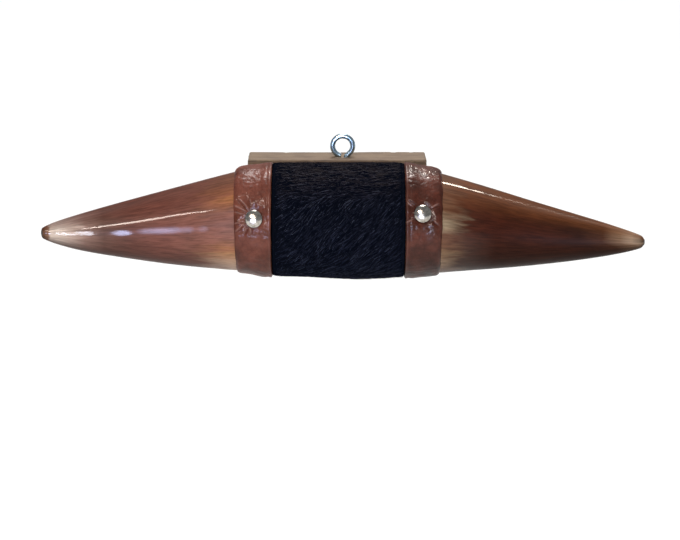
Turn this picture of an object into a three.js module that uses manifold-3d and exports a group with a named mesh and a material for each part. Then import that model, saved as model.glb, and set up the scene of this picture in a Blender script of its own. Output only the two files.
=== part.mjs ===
// Mounted longhorn horns: two polished steer horns, end to end on a wood core, with a hair-on
// hide wrapped round the middle, a leather band over each joint, and a wood block behind that
// hangs from a screw eye. Millimetres, +X along the horns, -Y towards the viewer, +Z up.
//
// The pieces are laid out round the core: its axis is X and its middle is the zero point of the
// assembly. The finished group is then moved so that its origin is the centre of the eye's ring.
import * as THREE from "three";
import { mergeVertices } from "three/addons/utils/BufferGeometryUtils.js";
import Module from "manifold-3d";

const GAP = 0.3; // between any two pieces that touch

// Horns. Distances along X are from the core's middle.
const HORN_BASE_X = 64; // square-cut base of each horn
const HORN_HOLLOW_DEPTH = 100;
const HORN_HOLLOW_TIP_RADIUS = 10;
const HORN_SIDES = 32;
const HORN_RINGS = 20;
const HORN_TURN = 0.45; // share of the length over which the sections turn square to the curve
const HORN_FLATTEN = 0.08; // how much shallower than high the section is at the tip
const LEFT_HORN = {
  side: -1,
  tipX: 260.9,
  baseRadius: 49.1,
  tipRadius: 3.65,
  taper: 0.707,
  sweep: 38, // the tip's reach towards the viewer
  bend: 2.6, // above 2, more of that reach comes near the tip
  baseZ: 2.2,
  tipZ: -2.0,
  sag: 4.3, // how far the middle hangs below the straight line from base to tip
};
const RIGHT_HORN = {
  side: 1,
  tipX: 268.4,
  baseRadius: 49.7,
  tipRadius: 4.1,
  taper: 0.786,
  sweep: 44,
  bend: 2.0,
  baseZ: 1.0,
  tipZ: -8.6,
  sag: 4.15,
};

// Turned wood core, with a tapered tenon in each horn.
const CORE_RADIUS = 46.4;
const TENON_LENGTH = 42;
const TENON_BASE_RADIUS = 41.5;
const TENON_END_RADIUS = 29.7;
const CORE_SIDES = 36;

// Hair-on hide round the middle of the core.
const HIDE_HALF_WIDTH = 58.7;
const HIDE_RADIUS = 50.6; // over the lying hair
const HIDE_CROWN = 1.1; // fuller at the top of the wrap
const HIDE_SAG = 2.2; // where the wrap hangs a little loose under the core
const HIDE_SAG_X = 27;
const HIDE_SAG_REACH = 30;
const HIDE_EDGE = 1.3; // rounding of its two edges
const HIDE_SIDES = 40;

// Leather bands.
const BAND_INNER_X = 59.0;
const BAND_OUTER_X = 91.5;
const BAND_SIDES = 40;
const BAND_THIN = 1.9; // where the leather lies flat over the horn's rim
const BAND_THICK = 3.0; // at the folded outer edge

// Dome-head nails.
const NAIL_X = 73.6;
const NAIL_HEAD_RADIUS = 8;
const NAIL_HEAD_HEIGHT = 4.2;
const NAIL_SHANK_RADIUS = 1.25;
const NAIL_LENGTH = 30;
const NAIL_SEAT = 50.7; // distance of the head's rim from the core's axis
const LEFT_NAIL_RISE = 15.5; // degrees above the straight-ahead direction
const RIGHT_NAIL_RISE = 20.5;

// Wood block: standard 38 by 89 mm lumber, cut to length.
const BLOCK_LENGTH = 166;
const BLOCK_X = -1.2;
const BLOCK_DEPTH = 38;
const BLOCK_HEIGHT = 89;
const BLOCK_FRONT_Y = 52.6;
const BLOCK_FRONT_CORNER = 2.5;
const BLOCK_BACK_CORNER = 5;
const BLOCK_EDGE = 1.2;

// Screw eye.
const WIRE_RADIUS = 2.4;
const RING_RADIUS = 9.35; // to the middle of the wire
const EYE = new THREE.Vector3(4.0, BLOCK_FRONT_Y + 18.5, 53.8);
const RING_START = -102; // degrees: the wire's cut end, just left of the lowest point
const RING_END = -52; // degrees: where the ring bends down into the shank
const EYE_SHANK_X = 2.6;
const EYE_SHANK_BEND = 14; // depth below the ring's centre at which the shank runs straight
const EYE_SHANK_END = 34;

// Screws from the block's back into the core.
const SCREW_X = 45;
const SCREW_LENGTH = 66;
const SCREW_RADIUS = 2.1;
const SCREW_POINT = 6;
const SCREW_HEAD_RADIUS = 4.3;
const SCREW_HEAD_HEIGHT = 3;
const SCREW_SUNK = 1; // the head's face below the block's back

const FINISH = {
  hornLeft: new THREE.MeshStandardMaterial({ color: "#7b4a3b", roughness: 0.18 }),
  hornRight: new THREE.MeshStandardMaterial({ color: "#5a3326", roughness: 0.18 }),
  coreWood: new THREE.MeshStandardMaterial({ color: "#b08a62", roughness: 0.8 }),
  hide: new THREE.MeshStandardMaterial({ color: "#14151c", roughness: 0.7 }),
  leather: new THREE.MeshStandardMaterial({ color: "#6a3d33", roughness: 0.3 }),
  nickel: new THREE.MeshStandardMaterial({ color: "#b9b2a8", roughness: 0.15, metalness: 1 }),
  blockWood: new THREE.MeshStandardMaterial({ color: "#8c796a", roughness: 0.85 }),
  zinc: new THREE.MeshStandardMaterial({ color: "#8fa3ad", roughness: 0.25, metalness: 1 }),
  screwSteel: new THREE.MeshStandardMaterial({ color: "#8a8a88", roughness: 0.4, metalness: 1 }),
};

const wasm = await Module();
wasm.setup();

// Rows of points, each row a closed loop, become a skin. The first and last rows are joined to
// each other when ring is true, and otherwise each is closed by a fan round its middle.
function skin(rows, ring) {
  const around = rows[0].length;
  const points = rows.flat();
  const faces = [];
  const at = (row, column) => (row % rows.length) * around + (column % around);
  const bands = ring ? rows.length : rows.length - 1;
  for (let i = 0; i < bands; i++)
    for (let j = 0; j < around; j++) {
      faces.push(at(i, j), at(i + 1, j), at(i + 1, j + 1));
      faces.push(at(i, j), at(i + 1, j + 1), at(i, j + 1));
    }
  if (!ring)
    for (const row of [0, rows.length - 1]) {
      const middle = rows[row].reduce((sum, p) => sum.add(p), new THREE.Vector3());
      points.push(middle.divideScalar(around));
      for (let j = 0; j < around; j++) {
        const edge = [at(row, j), at(row, j + 1)];
        faces.push(points.length - 1, ...(row === 0 ? edge : edge.reverse()));
      }
    }
  const geometry = new THREE.BufferGeometry().setFromPoints(points);
  geometry.setIndex(faces);
  return faceOutwards(geometry);
}

// Turns every face round where the skin encloses a negative volume.
function faceOutwards(geometry) {
  const { index } = geometry;
  const position = geometry.attributes.position;
  const corner = (i) => new THREE.Vector3().fromBufferAttribute(position, index.getX(i));
  let volume = 0;
  for (let i = 0; i < index.count; i += 3)
    volume += corner(i).dot(corner(i + 1).cross(corner(i + 2)));
  if (volume < 0) geometry.setIndex([...index.array].reverse());
  geometry.computeVertexNormals();
  return geometry;
}

// A mesh as a solid in the assembly's frame.
function solidOf(mesh) {
  mesh.updateMatrixWorld(true);
  const geometry = mesh.geometry.clone().applyMatrix4(mesh.matrixWorld);
  geometry.deleteAttribute("normal");
  geometry.deleteAttribute("uv");
  const merged = mergeVertices(geometry, 1e-4);
  return new wasm.Manifold(
    new wasm.Mesh({
      numProp: 3,
      vertProperties: merged.attributes.position.array,
      triVerts: new Uint32Array(merged.index.array),
    }),
  );
}

// Cuts the tools out of a mesh.
function carve(mesh, ...tools) {
  let solid = solidOf(mesh);
  for (const tool of tools) solid = solid.subtract(solidOf(tool));
  const { vertProperties, triVerts } = solid.getMesh();
  mesh.geometry = new THREE.BufferGeometry()
    .setAttribute("position", new THREE.BufferAttribute(vertProperties, 3))
    .setIndex(new THREE.BufferAttribute(triVerts, 1))
    .applyMatrix4(mesh.matrixWorld.clone().invert());
  mesh.geometry.computeVertexNormals();
  return mesh;
}

function named(name, geometry, material) {
  const mesh = new THREE.Mesh(geometry, material);
  mesh.name = name;
  return mesh;
}

const tool = (geometry) => new THREE.Mesh(geometry);

// The horn's section at distance x from the core's middle: its centre, radius and two axes.
function hornSection(horn, x) {
  const s = THREE.MathUtils.clamp((x - HORN_BASE_X) / (horn.tipX - HORN_BASE_X), 0, 1);
  const length = horn.tipX - HORN_BASE_X;
  const z = THREE.MathUtils.lerp(horn.baseZ, horn.tipZ, s) - horn.sag * 4 * s * (1 - s);
  const centre = new THREE.Vector3(horn.side * x, -horn.sweep * Math.pow(s, horn.bend), z);
  const slopeY = (-horn.sweep * horn.bend * Math.pow(s, horn.bend - 1)) / length;
  const slopeZ = (horn.tipZ - horn.baseZ - horn.sag * 4 * (1 - 2 * s)) / length;
  const turned = THREE.MathUtils.smoothstep(s, 0, HORN_TURN);
  const along = new THREE.Vector3(horn.side, slopeY * turned, slopeZ * turned).normalize();
  const front = new THREE.Vector3(0, 0, 1).cross(along).multiplyScalar(-horn.side).normalize();
  const up = front.clone().cross(along).multiplyScalar(horn.side).normalize();
  const radius =
    horn.tipRadius + (horn.baseRadius - horn.tipRadius) * Math.pow(1 - s, horn.taper);
  return { centre, radius, front, up, flatten: 1 - HORN_FLATTEN * s };
}

// A closed loop of points round a section, extra millimetres outside its radius.
function hornLoop(horn, x, sides, extra = 0) {
  const { centre, radius, front, up, flatten } = hornSection(horn, x);
  return Array.from({ length: sides }, (_, i) => {
    const angle = (2 * Math.PI * i) / sides;
    return centre
      .clone()
      .addScaledVector(front, (radius + extra) * flatten * Math.cos(angle))
      .addScaledVector(up, (radius + extra) * Math.sin(angle));
  });
}

// A loop of a given radius round the core's axis.
function coreLoop(x, radius, sides) {
  return Array.from({ length: sides }, (_, i) => {
    const angle = (2 * Math.PI * i) / sides;
    return new THREE.Vector3(x, -radius * Math.cos(angle), radius * Math.sin(angle));
  });
}

// From the bottom of the hollow, out over the cut base and along the outside to the blunt tip.
function hornGeometry(horn) {
  const hollowX = HORN_BASE_X + HORN_HOLLOW_DEPTH;
  const hollow = hornSection(horn, hollowX);
  const rows = [
    hornLoop(horn, hollowX, HORN_SIDES, HORN_HOLLOW_TIP_RADIUS - hollow.radius),
    coreLoop(horn.side * (HORN_BASE_X + TENON_LENGTH), TENON_END_RADIUS + GAP, HORN_SIDES),
    coreLoop(horn.side * HORN_BASE_X, TENON_BASE_RADIUS + GAP, HORN_SIDES),
  ];
  for (let i = 0; i <= HORN_RINGS; i++) {
    const left = Math.pow(1 - i / HORN_RINGS, 1.5); // rings crowd where the tip rounds off
    rows.push(hornLoop(horn, horn.tipX - (horn.tipX - HORN_BASE_X) * left, HORN_SIDES));
  }
  return skin(rows, false);
}

// A profile in (distance along X, radius) turned round the X axis.
function turnedAlongX(profile, sides) {
  const points = profile.map(([x, radius]) => new THREE.Vector2(radius, x));
  return new THREE.LatheGeometry(points, sides).rotateZ(-Math.PI / 2);
}

function coreGeometry() {
  const shoulder = HORN_BASE_X - GAP;
  const end = HORN_BASE_X + TENON_LENGTH - GAP;
  const half = [
    [shoulder, CORE_RADIUS],
    [shoulder, TENON_BASE_RADIUS],
    [end, TENON_END_RADIUS],
    [end, 0],
  ];
  const mirrored = half.map(([x, radius]) => [-x, radius]).reverse();
  return turnedAlongX([...mirrored, ...half], CORE_SIDES);
}

// The hide's outside, from edge to edge: full on top, and a little loose below on one side.
function hideRadius(x, angle) {
  const up = Math.sin(angle);
  const loose = Math.exp(-(((x - HIDE_SAG_X) / HIDE_SAG_REACH) ** 2)) * Math.max(0, -up) ** 3;
  return HIDE_RADIUS + HIDE_CROWN * Math.max(0, up) ** 2 + HIDE_SAG * loose;
}

function hideGeometry() {
  const stations = [-HIDE_HALF_WIDTH, -HIDE_HALF_WIDTH + HIDE_EDGE, -40, -20, 0, 14, 27, 40];
  stations.push(HIDE_HALF_WIDTH - HIDE_EDGE, HIDE_HALF_WIDTH);
  const outside = stations.map((x) =>
    coreLoop(x, 1, HIDE_SIDES).map((p) => {
      const inset = Math.abs(x) === HIDE_HALF_WIDTH ? HIDE_EDGE : 0;
      const radius = hideRadius(x, Math.atan2(p.z, -p.y)) - inset;
      return new THREE.Vector3(x, p.y * radius, p.z * radius);
    }),
  );
  const inside = [HIDE_HALF_WIDTH, -HIDE_HALF_WIDTH].map((x) =>
    coreLoop(x, CORE_RADIUS + GAP, HIDE_SIDES),
  );
  return skin([...outside, ...inside], true);
}

// The band's section, as distance from the middle and height over the horn: a flat underside,
// a rounded edge next to the hide, and a thick folded edge towards the horn.
function bandProfile() {
  const width = BAND_OUTER_X - BAND_INNER_X;
  return [
    [BAND_INNER_X, GAP],
    [BAND_INNER_X, GAP + 0.55 * BAND_THIN],
    [BAND_INNER_X + 0.05 * width, GAP + 0.95 * BAND_THIN],
    [BAND_INNER_X + 0.2 * width, GAP + BAND_THIN],
    [BAND_INNER_X + 0.5 * width, GAP + 0.55 * BAND_THIN + 0.45 * BAND_THICK],
    [BAND_INNER_X + 0.8 * width, GAP + BAND_THICK],
    [BAND_INNER_X + 0.93 * width, GAP + 0.85 * BAND_THICK],
    [BAND_OUTER_X, GAP + 0.4 * BAND_THICK],
    [BAND_OUTER_X, GAP],
    [BAND_INNER_X + 0.5 * width, GAP],
    [HORN_BASE_X, GAP],
  ];
}

function bandGeometry(horn) {
  return skin(
    bandProfile().map(([x, height]) => hornLoop(horn, x, BAND_SIDES, height)),
    true,
  );
}

// A nail along +Y of its own frame: the rim of the head at zero and the point at NAIL_LENGTH.
function nailGeometry() {
  const dome = Array.from({ length: 6 }, (_, i) => {
    const angle = (i / 5) * (Math.PI / 2);
    return new THREE.Vector2(
      NAIL_HEAD_RADIUS * Math.sin(angle),
      -NAIL_HEAD_HEIGHT * Math.cos(angle),
    );
  });
  const shank = [
    new THREE.Vector2(NAIL_SHANK_RADIUS, 0),
    new THREE.Vector2(NAIL_SHANK_RADIUS, NAIL_LENGTH - 3),
    new THREE.Vector2(0, NAIL_LENGTH),
  ];
  return new THREE.LatheGeometry([...dome, ...shank], 24);
}

// Turns a piece that runs along +Y to point at the core's axis from the front, at a rise.
function placeNail(mesh, horn, rise) {
  const angle = THREE.MathUtils.degToRad(rise);
  mesh.position.set(
    horn.side * NAIL_X,
    -NAIL_SEAT * Math.cos(angle),
    NAIL_SEAT * Math.sin(angle),
  );
  mesh.rotation.x = -angle;
  return mesh;
}

// The recess that the nail's head presses into the leather, and the hole of its shank.
function nailRecess(horn, rise) {
  const seat = new THREE.CylinderGeometry(
    NAIL_HEAD_RADIUS + GAP,
    NAIL_HEAD_RADIUS + GAP,
    NAIL_HEAD_HEIGHT * 2,
    24,
  ).translate(0, GAP - NAIL_HEAD_HEIGHT, 0);
  return placeNail(tool(seat), horn, rise);
}

function nailHole(horn, rise) {
  const radius = NAIL_SHANK_RADIUS + GAP;
  const length = NAIL_LENGTH + GAP;
  const hole = new THREE.CylinderGeometry(radius, radius, length, 12);
  return placeNail(tool(hole.translate(0, length / 2, 0)), horn, rise);
}

// Plan outline with small front corners and rounder back ones, its edges eased all round.
function blockGeometry() {
  const half = BLOCK_LENGTH / 2;
  const front = BLOCK_FRONT_CORNER;
  const back = BLOCK_BACK_CORNER;
  const corners = [
    [front - half, front, front],
    [half - front, front, front],
    [half - back, BLOCK_DEPTH - back, back],
    [back - half, BLOCK_DEPTH - back, back],
  ];
  const outline = new THREE.Shape();
  corners.forEach(([x, y, radius], i) => {
    const from = Math.PI + (i * Math.PI) / 2;
    outline.absarc(x, y, radius, from, from + Math.PI / 2);
  });
  return new THREE.ExtrudeGeometry(outline, {
    depth: BLOCK_HEIGHT - 2 * BLOCK_EDGE,
    curveSegments: 3,
    bevelSize: BLOCK_EDGE,
    bevelOffset: -BLOCK_EDGE,
    bevelThickness: BLOCK_EDGE,
    bevelSegments: 2,
  }).translate(0, 0, BLOCK_EDGE - BLOCK_HEIGHT / 2);
}

// Wire bent into a ring in the XZ plane, then down into a straight shank. The clearance makes
// the wire fatter and longer at both ends, which gives the hole that it sits in.
function eyeGeometry(clearance = 0) {
  const wire = WIRE_RADIUS + clearance;
  const onRing = (degrees) => {
    const angle = THREE.MathUtils.degToRad(degrees);
    return new THREE.Vector3(RING_RADIUS * Math.cos(angle), 0, RING_RADIUS * Math.sin(angle));
  };
  const startAngle = RING_START + THREE.MathUtils.radToDeg(clearance / RING_RADIUS);
  const sweep = 360 + startAngle - RING_END;
  const route = Array.from({ length: 17 }, (_, i) => onRing(startAngle - (sweep * i) / 16));
  const straight = new THREE.Vector3(EYE_SHANK_X, 0, -EYE_SHANK_BEND);
  const knee = new THREE.Vector3(EYE_SHANK_X + 0.7, 0, -10.6);
  const end = new THREE.Vector3(EYE_SHANK_X, 0, -EYE_SHANK_END - clearance);
  route.push(knee, straight, straight.clone().lerp(end, 0.5), end);
  const section = new THREE.Shape().absarc(0, 0, wire, 0, 2 * Math.PI);
  return new THREE.ExtrudeGeometry(section, {
    extrudePath: new THREE.CatmullRomCurve3(route),
    steps: 44,
    curveSegments: 5,
  });
}

// A screw along -Y of its own frame, its head's face at zero. With a clearance it is the hole,
// open to the back.
function screwGeometry(clearance = 0) {
  const head = SCREW_HEAD_RADIUS + clearance;
  const shank = SCREW_RADIUS + clearance;
  const back = clearance > 0 ? 2 * SCREW_SUNK : 0;
  const profile = [
    [0, -SCREW_LENGTH - clearance],
    [shank, -SCREW_LENGTH - clearance + SCREW_POINT],
    [shank, -SCREW_HEAD_HEIGHT - clearance],
    [head, -clearance - SCREW_HEAD_HEIGHT / 3],
    [head, back],
    [0, back],
  ].map(([radius, y]) => new THREE.Vector2(radius, y));
  return new THREE.LatheGeometry(profile, 20);
}

function placeScrew(mesh, side) {
  mesh.position.set(side * SCREW_X, BLOCK_FRONT_Y + BLOCK_DEPTH - SCREW_SUNK, 0);
  return mesh;
}

const assembly = new THREE.Group();

const core = named("wood_core", coreGeometry(), FINISH.coreWood);
const hide = named("hide_wrap", hideGeometry(), FINISH.hide);
const block = named("back_block", blockGeometry(), FINISH.blockWood);
block.position.set(BLOCK_X, BLOCK_FRONT_Y, 0);

const sides = [
  { word: "left", horn: LEFT_HORN, rise: LEFT_NAIL_RISE, material: FINISH.hornLeft },
  { word: "right", horn: RIGHT_HORN, rise: RIGHT_NAIL_RISE, material: FINISH.hornRight },
];
for (const { word, horn, rise, material } of sides) {
  const hornMesh = named(word + "_horn", hornGeometry(horn), material);
  const band = named(word + "_band", bandGeometry(horn), FINISH.leather);
  const nail = placeNail(named(word + "_nail", nailGeometry(), FINISH.nickel), horn, rise);
  carve(hornMesh, nailHole(horn, rise));
  carve(band, nailHole(horn, rise), nailRecess(horn, rise));
  carve(core, nailHole(horn, rise));
  assembly.add(hornMesh, band, nail);

  const screwName = "back_screw_" + word;
  const screwHole = placeScrew(tool(screwGeometry(GAP)), horn.side);
  assembly.add(placeScrew(named(screwName, screwGeometry(), FINISH.screwSteel), horn.side));
  carve(block, screwHole);
  carve(hide, screwHole);
  carve(core, screwHole);
}

const eye = named("screw_eye", eyeGeometry(), FINISH.zinc);
eye.position.copy(EYE);
const eyeHole = tool(eyeGeometry(GAP));
eyeHole.position.copy(EYE);
carve(block, eyeHole);
assembly.add(core, hide, block, eye);

// The origin of the whole is the centre of the eye's ring.
assembly.position.copy(EYE).negate();
const mountedHorns = new THREE.Group();
mountedHorns.add(assembly);

export default mountedHorns;
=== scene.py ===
# %% [markdown]
# Mounted longhorn horns, dressed round a fixed frame
#
# The frame holds the real sizes: two horns on a wood core, a hide wrap, two leather bands, a wood
# block and a screw eye. This notebook makes their surfaces: polished horn, hair, lacquered
# leather, weathered wood and plated metal. Lengths are metres, X runs along the horns, -Y is
# towards the viewer and Z is up.

# %% Load the frame
import math

import bmesh
import bpy
import numpy as np
from mathutils import Matrix, Vector, noise


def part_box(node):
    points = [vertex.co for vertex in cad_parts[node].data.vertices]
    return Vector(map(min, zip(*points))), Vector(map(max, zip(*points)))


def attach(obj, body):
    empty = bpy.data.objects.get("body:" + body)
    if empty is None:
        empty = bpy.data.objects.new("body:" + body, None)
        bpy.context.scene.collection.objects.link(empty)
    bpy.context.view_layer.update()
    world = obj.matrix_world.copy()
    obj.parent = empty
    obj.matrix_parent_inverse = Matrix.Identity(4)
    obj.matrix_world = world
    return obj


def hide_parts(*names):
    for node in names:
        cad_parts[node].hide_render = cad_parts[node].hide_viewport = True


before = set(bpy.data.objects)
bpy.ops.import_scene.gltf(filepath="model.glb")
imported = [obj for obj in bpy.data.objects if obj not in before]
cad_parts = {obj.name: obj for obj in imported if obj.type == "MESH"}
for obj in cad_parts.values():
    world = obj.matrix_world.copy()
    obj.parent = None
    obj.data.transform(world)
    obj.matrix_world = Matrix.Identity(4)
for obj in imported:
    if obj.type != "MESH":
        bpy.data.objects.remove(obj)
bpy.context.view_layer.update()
MM = 0.001
print("frame nodes:", sorted(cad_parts))

# %% [markdown]
# Every place below is given from the middle of the wood core, because the whole object is built
# round it. The core's box gives that middle and its radius, and other boxes give the rest.

# %% Measure the frame
core_low, core_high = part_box("wood_core")
CORE = (core_low + core_high) / 2
CORE_RADIUS = (core_high.z - core_low.z) / 2
hide_low, hide_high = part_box("hide_wrap")
HIDE_HALF = (hide_high.x - hide_low.x) / 2
BLOCK_LOW, BLOCK_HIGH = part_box("back_block")
print("core middle at", [round(v / MM, 1) for v in CORE], "radius", round(CORE_RADIUS / MM, 1))

# %% [markdown]
# A few small helpers. Colours are written as the sRGB hex values that a colour picker shows, and
# one function turns them into the linear values that the shaders need. Another adds a node with
# its settings and links, so that a material reads as a list of what it is made of.

# %% Helpers for colours, nodes and meshes
COLOUR_A, COLOUR_B, COLOUR_OUT = 6, 7, 2  # the colour sockets of a Mix node


def srgb(code):
    channels = [int(code[i : i + 2], 16) / 255 for i in (1, 3, 5)]
    linear = [c / 12.92 if c <= 0.04045 else ((c + 0.055) / 1.055) ** 2.4 for c in channels]
    return (*linear, 1.0)


def node(tree, kind, inputs=None, out=0, stops=None, **settings):
    """Adds a node, fills or links its inputs and returns an output, or the node if out is None."""
    made = tree.nodes.new(kind)
    for name, value in settings.items():
        setattr(made, name, value)
    for name, value in (inputs or {}).items():
        socket = made.inputs[name]
        if isinstance(value, bpy.types.NodeSocket):
            tree.links.new(value, socket)
        else:
            socket.default_value = value
    if stops:
        elements = made.color_ramp.elements
        while len(elements) < len(stops):
            elements.new(0.5)
        for element, (place, value) in zip(elements, stops):
            element.position = place
            element.color = srgb(value) if isinstance(value, str) else (value, value, value, 1)
    return made if out is None else made.outputs[out]


def new_material(name, **values):
    """A material with one Principled shader, whose plain values are set on its own sockets."""
    material = bpy.data.materials.new(name)
    material.use_nodes = True
    tree = material.node_tree
    tree.nodes.clear()
    shader = node(tree, "ShaderNodeBsdfPrincipled", out=None)
    for socket, value in values.items():
        shader.inputs[socket.replace("_", " ")].default_value = value
    node(tree, "ShaderNodeOutputMaterial", {"Surface": shader.outputs["BSDF"]}, out=None)
    return material, tree, shader


def new_mesh(name, points, faces, material):
    mesh = bpy.data.meshes.new(name)
    mesh.from_pydata([tuple(map(float, p)) for p in points], [], faces)
    mesh.materials.append(material)
    mesh.polygons.foreach_set("use_smooth", [True] * len(mesh.polygons))
    mesh.update()
    made = bpy.data.objects.new(name, mesh)
    bpy.context.scene.collection.objects.link(made)
    return made


def set_attribute(made, name, values):
    kind, key = ("FLOAT_VECTOR", "vector") if values.ndim > 1 else ("FLOAT", "value")
    layer = made.data.attributes.new(name, kind, "POINT")
    layer.data.foreach_set(key, values.astype(np.float32).ravel())


# %% [markdown]
# The camera stands where the photographer stood: 1.62 m away, 14 degrees above the horns, and
# aimed at the core's middle. Its lens makes one pixel of a 680-pixel-wide picture 0.9 mm there.
# The lens is shifted, not tilted, to put the horns in the upper part of the picture.

# %% Camera
VIEW_DISTANCE = 1620 * MM
VIEW_TILT = math.radians(14)
PICTURE_WIDTH = 680
PIXEL = 0.9 * MM
AIM_RIGHT = 1.5 * MM
PIXELS_ABOVE_MIDDLE = 49.6
SENSOR_MM = 36

to_camera = Vector((0, -math.cos(VIEW_TILT), math.sin(VIEW_TILT)))
camera_data = bpy.data.cameras.new("camera")
camera_data.sensor_width = SENSOR_MM
camera_data.lens = SENSOR_MM * VIEW_DISTANCE / (PICTURE_WIDTH * PIXEL)
camera_data.shift_y = -PIXELS_ABOVE_MIDDLE / PICTURE_WIDTH
camera = bpy.data.objects.new("camera", camera_data)
camera.location = CORE + Vector((AIM_RIGHT, 0, 0)) + VIEW_DISTANCE * to_camera
camera.rotation_euler = (math.pi / 2 - VIEW_TILT, 0, 0)
bpy.context.scene.collection.objects.link(camera)
bpy.context.scene.camera = camera
print("lens", round(camera_data.lens, 2), "mm")

# %% [markdown]
# A polished horn is a mirror, so each lamp is placed by its reflection, as a bar from one end to
# the other. A long bar in front draws the fine line along the left horn. A window in front of
# that horn's tip gives the streak there, and two dimmer, bluer ones the soft spots beside it. A
# bar overhead behind draws the streak on the right horn, and one next to it the shine on top of
# the right band. These lamps count only in gloss, and one broad lamp in front, above, only in the
# colours. The sun stands above and behind: it whitens the floor, whose light fills the shadows.


# %% A lamp for a reflection
def panel_light(name, start, end, width, power, colour, edge):
    """A lamp from start to end, seen from the core's middle, that faces it and fades over edge."""
    start, end = Vector(start), Vector(end)
    middle = (start + end) / 2
    along = (end - start).normalized()
    back = (middle - along * middle.dot(along)).normalized()
    data = bpy.data.lights.new(name, "AREA")
    data.shape = "RECTANGLE"
    data.size, data.size_y = (end - start).length, width
    data.energy = power
    data.color = srgb(colour)[:3]
    if edge:
        data.use_nodes = True
        tree = data.node_tree
        tree.nodes.clear()
        across = node(tree, "ShaderNodeNewGeometry", out="Parametric")
        centred = node(tree, "ShaderNodeVectorMath", {0: across, 1: (0.5, 0.5, 0)}, operation="SUBTRACT")
        reach = node(tree, "ShaderNodeVectorMath", {0: centred}, out="Value", operation="LENGTH")
        fade = {"Value": reach, "From Min": 0.5, "From Max": 0.5 * (1 - edge)}
        glow = node(tree, "ShaderNodeMapRange", fade, interpolation_type="SMOOTHSTEP")
        lamp = node(tree, "ShaderNodeEmission", {"Strength": glow})
        node(tree, "ShaderNodeOutputLight", {"Surface": lamp}, out=None)
    light = bpy.data.objects.new(name, data)
    light.location = CORE + middle
    light.rotation_euler = Matrix((along, back.cross(along), back)).transposed().to_euler()
    light.visible_camera = False
    light.visible_diffuse = False
    bpy.context.scene.collection.objects.link(light)


# %% Lamps for reflections
# one end and the other from the core's middle, width, watts, colour, and the share that fades out
for name, start, end, width, power, colour, edge in (
    ("line_bar", (-0.06, -1.32, 0.66), (-0.94, -1.32, 1.34), 0.17, 56, "#fff0e4", 0.25),
    ("tip_bar", (-0.14, -1.32, 0.7), (-0.21, -1.32, 1.85), 0.05, 4, "#fff0e4", 0.25),
    ("tip_window", (-0.097, -2.04, 0.1), (-0.02, -2.04, 0.1), 0.85, 18, "#eaf1ff", 0),
    ("blue_window", (-0.41, -2.04, -0.07), (-0.22, -2.04, -0.07), 0.95, 58, "#c8d4ff", 0.6),
    ("window_glow", (-0.9, -2.04, 0.05), (-0.4, -2.04, 0.05), 0.95, 84, "#ccd2ff", 0.9),
    ("rear_bar", (0.672, 1.1, 1.345), (0.72, 0.93, 1.46), 0.06, 3.2, "#fff0e0", 0.2),
    ("band_glint", (0.13, 1.02, 1.23), (0.25, 1.02, 1.23), 0.2, 32, "#fff0e4", 0.5),
):
    panel_light(name, start, end, width, power, colour, edge)
print("lamps for reflections:", len(bpy.data.lights))

# %% Fill lamp, sun and sky
FILL_SIZE = 1.4
FILL_WATTS = 38
FILL_AWAY = 1.6  # both in front of the core and above it
SUN_STRENGTH = 2.75
SUN_WIDTH = math.radians(22)
SUN_TILT = math.radians(30)
SKY_STRENGTH = 0.34

fill_data = bpy.data.lights.new("front_fill", "AREA")
fill_data.size = FILL_SIZE
fill_data.energy = FILL_WATTS
fill_data.color = srgb("#fff6e8")[:3]
fill = bpy.data.objects.new("front_fill", fill_data)
fill.location = CORE + Vector((0, -FILL_AWAY, FILL_AWAY))
fill.rotation_euler = (math.radians(45), 0, 0)
fill.visible_camera = False
fill.visible_glossy = False
bpy.context.scene.collection.objects.link(fill)

sun_data = bpy.data.lights.new("floor_sun", "SUN")
sun_data.energy = SUN_STRENGTH
sun_data.angle = SUN_WIDTH
sun = bpy.data.objects.new("floor_sun", sun_data)
sun.rotation_euler = (-SUN_TILT, 0, 0)
bpy.context.scene.collection.objects.link(sun)

world = bpy.data.worlds.new("studio")
world.use_nodes = True
background = world.node_tree.nodes["Background"]
background.inputs["Color"].default_value = srgb("#eef1f4")
background.inputs["Strength"].default_value = SKY_STRENGTH
bpy.context.scene.world = world
bpy.context.scene.view_settings.view_transform = "Standard"
print("lights in all:", len(bpy.data.lights))

# %% [markdown]
# The floor is a wide sheet far below the horns, stage only. Matt wall paint scatters what falls
# on it, so it shows no edge and no mirror image, and it throws soft white light back up.

# %% Floor
FLOOR_DROP = 0.6
FLOOR_HALF = 14.0

paint, tree, shader = new_material("matt_white_paint", Base_Color=srgb("#fafaf9"), Roughness=0.9)
floor_z = CORE.z - FLOOR_DROP
floor_corners = [(-1, -1), (1, -1), (1, 1), (-1, 1)]
floor_points = [(x * FLOOR_HALF, y * FLOOR_HALF, floor_z) for x, y in floor_corners]
new_mesh("floor", floor_points, [(0, 1, 2, 3)], paint)
print("floor at", round(floor_z, 3), "m")

# %% [markdown]
# Every grown or soft piece here is a skin over a grid of points: rows that follow one another
# along the piece, each a loop round it. One function turns such a grid into a closed mesh, either
# by joining the last row to the first or by closing both ends with a fan.


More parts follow.
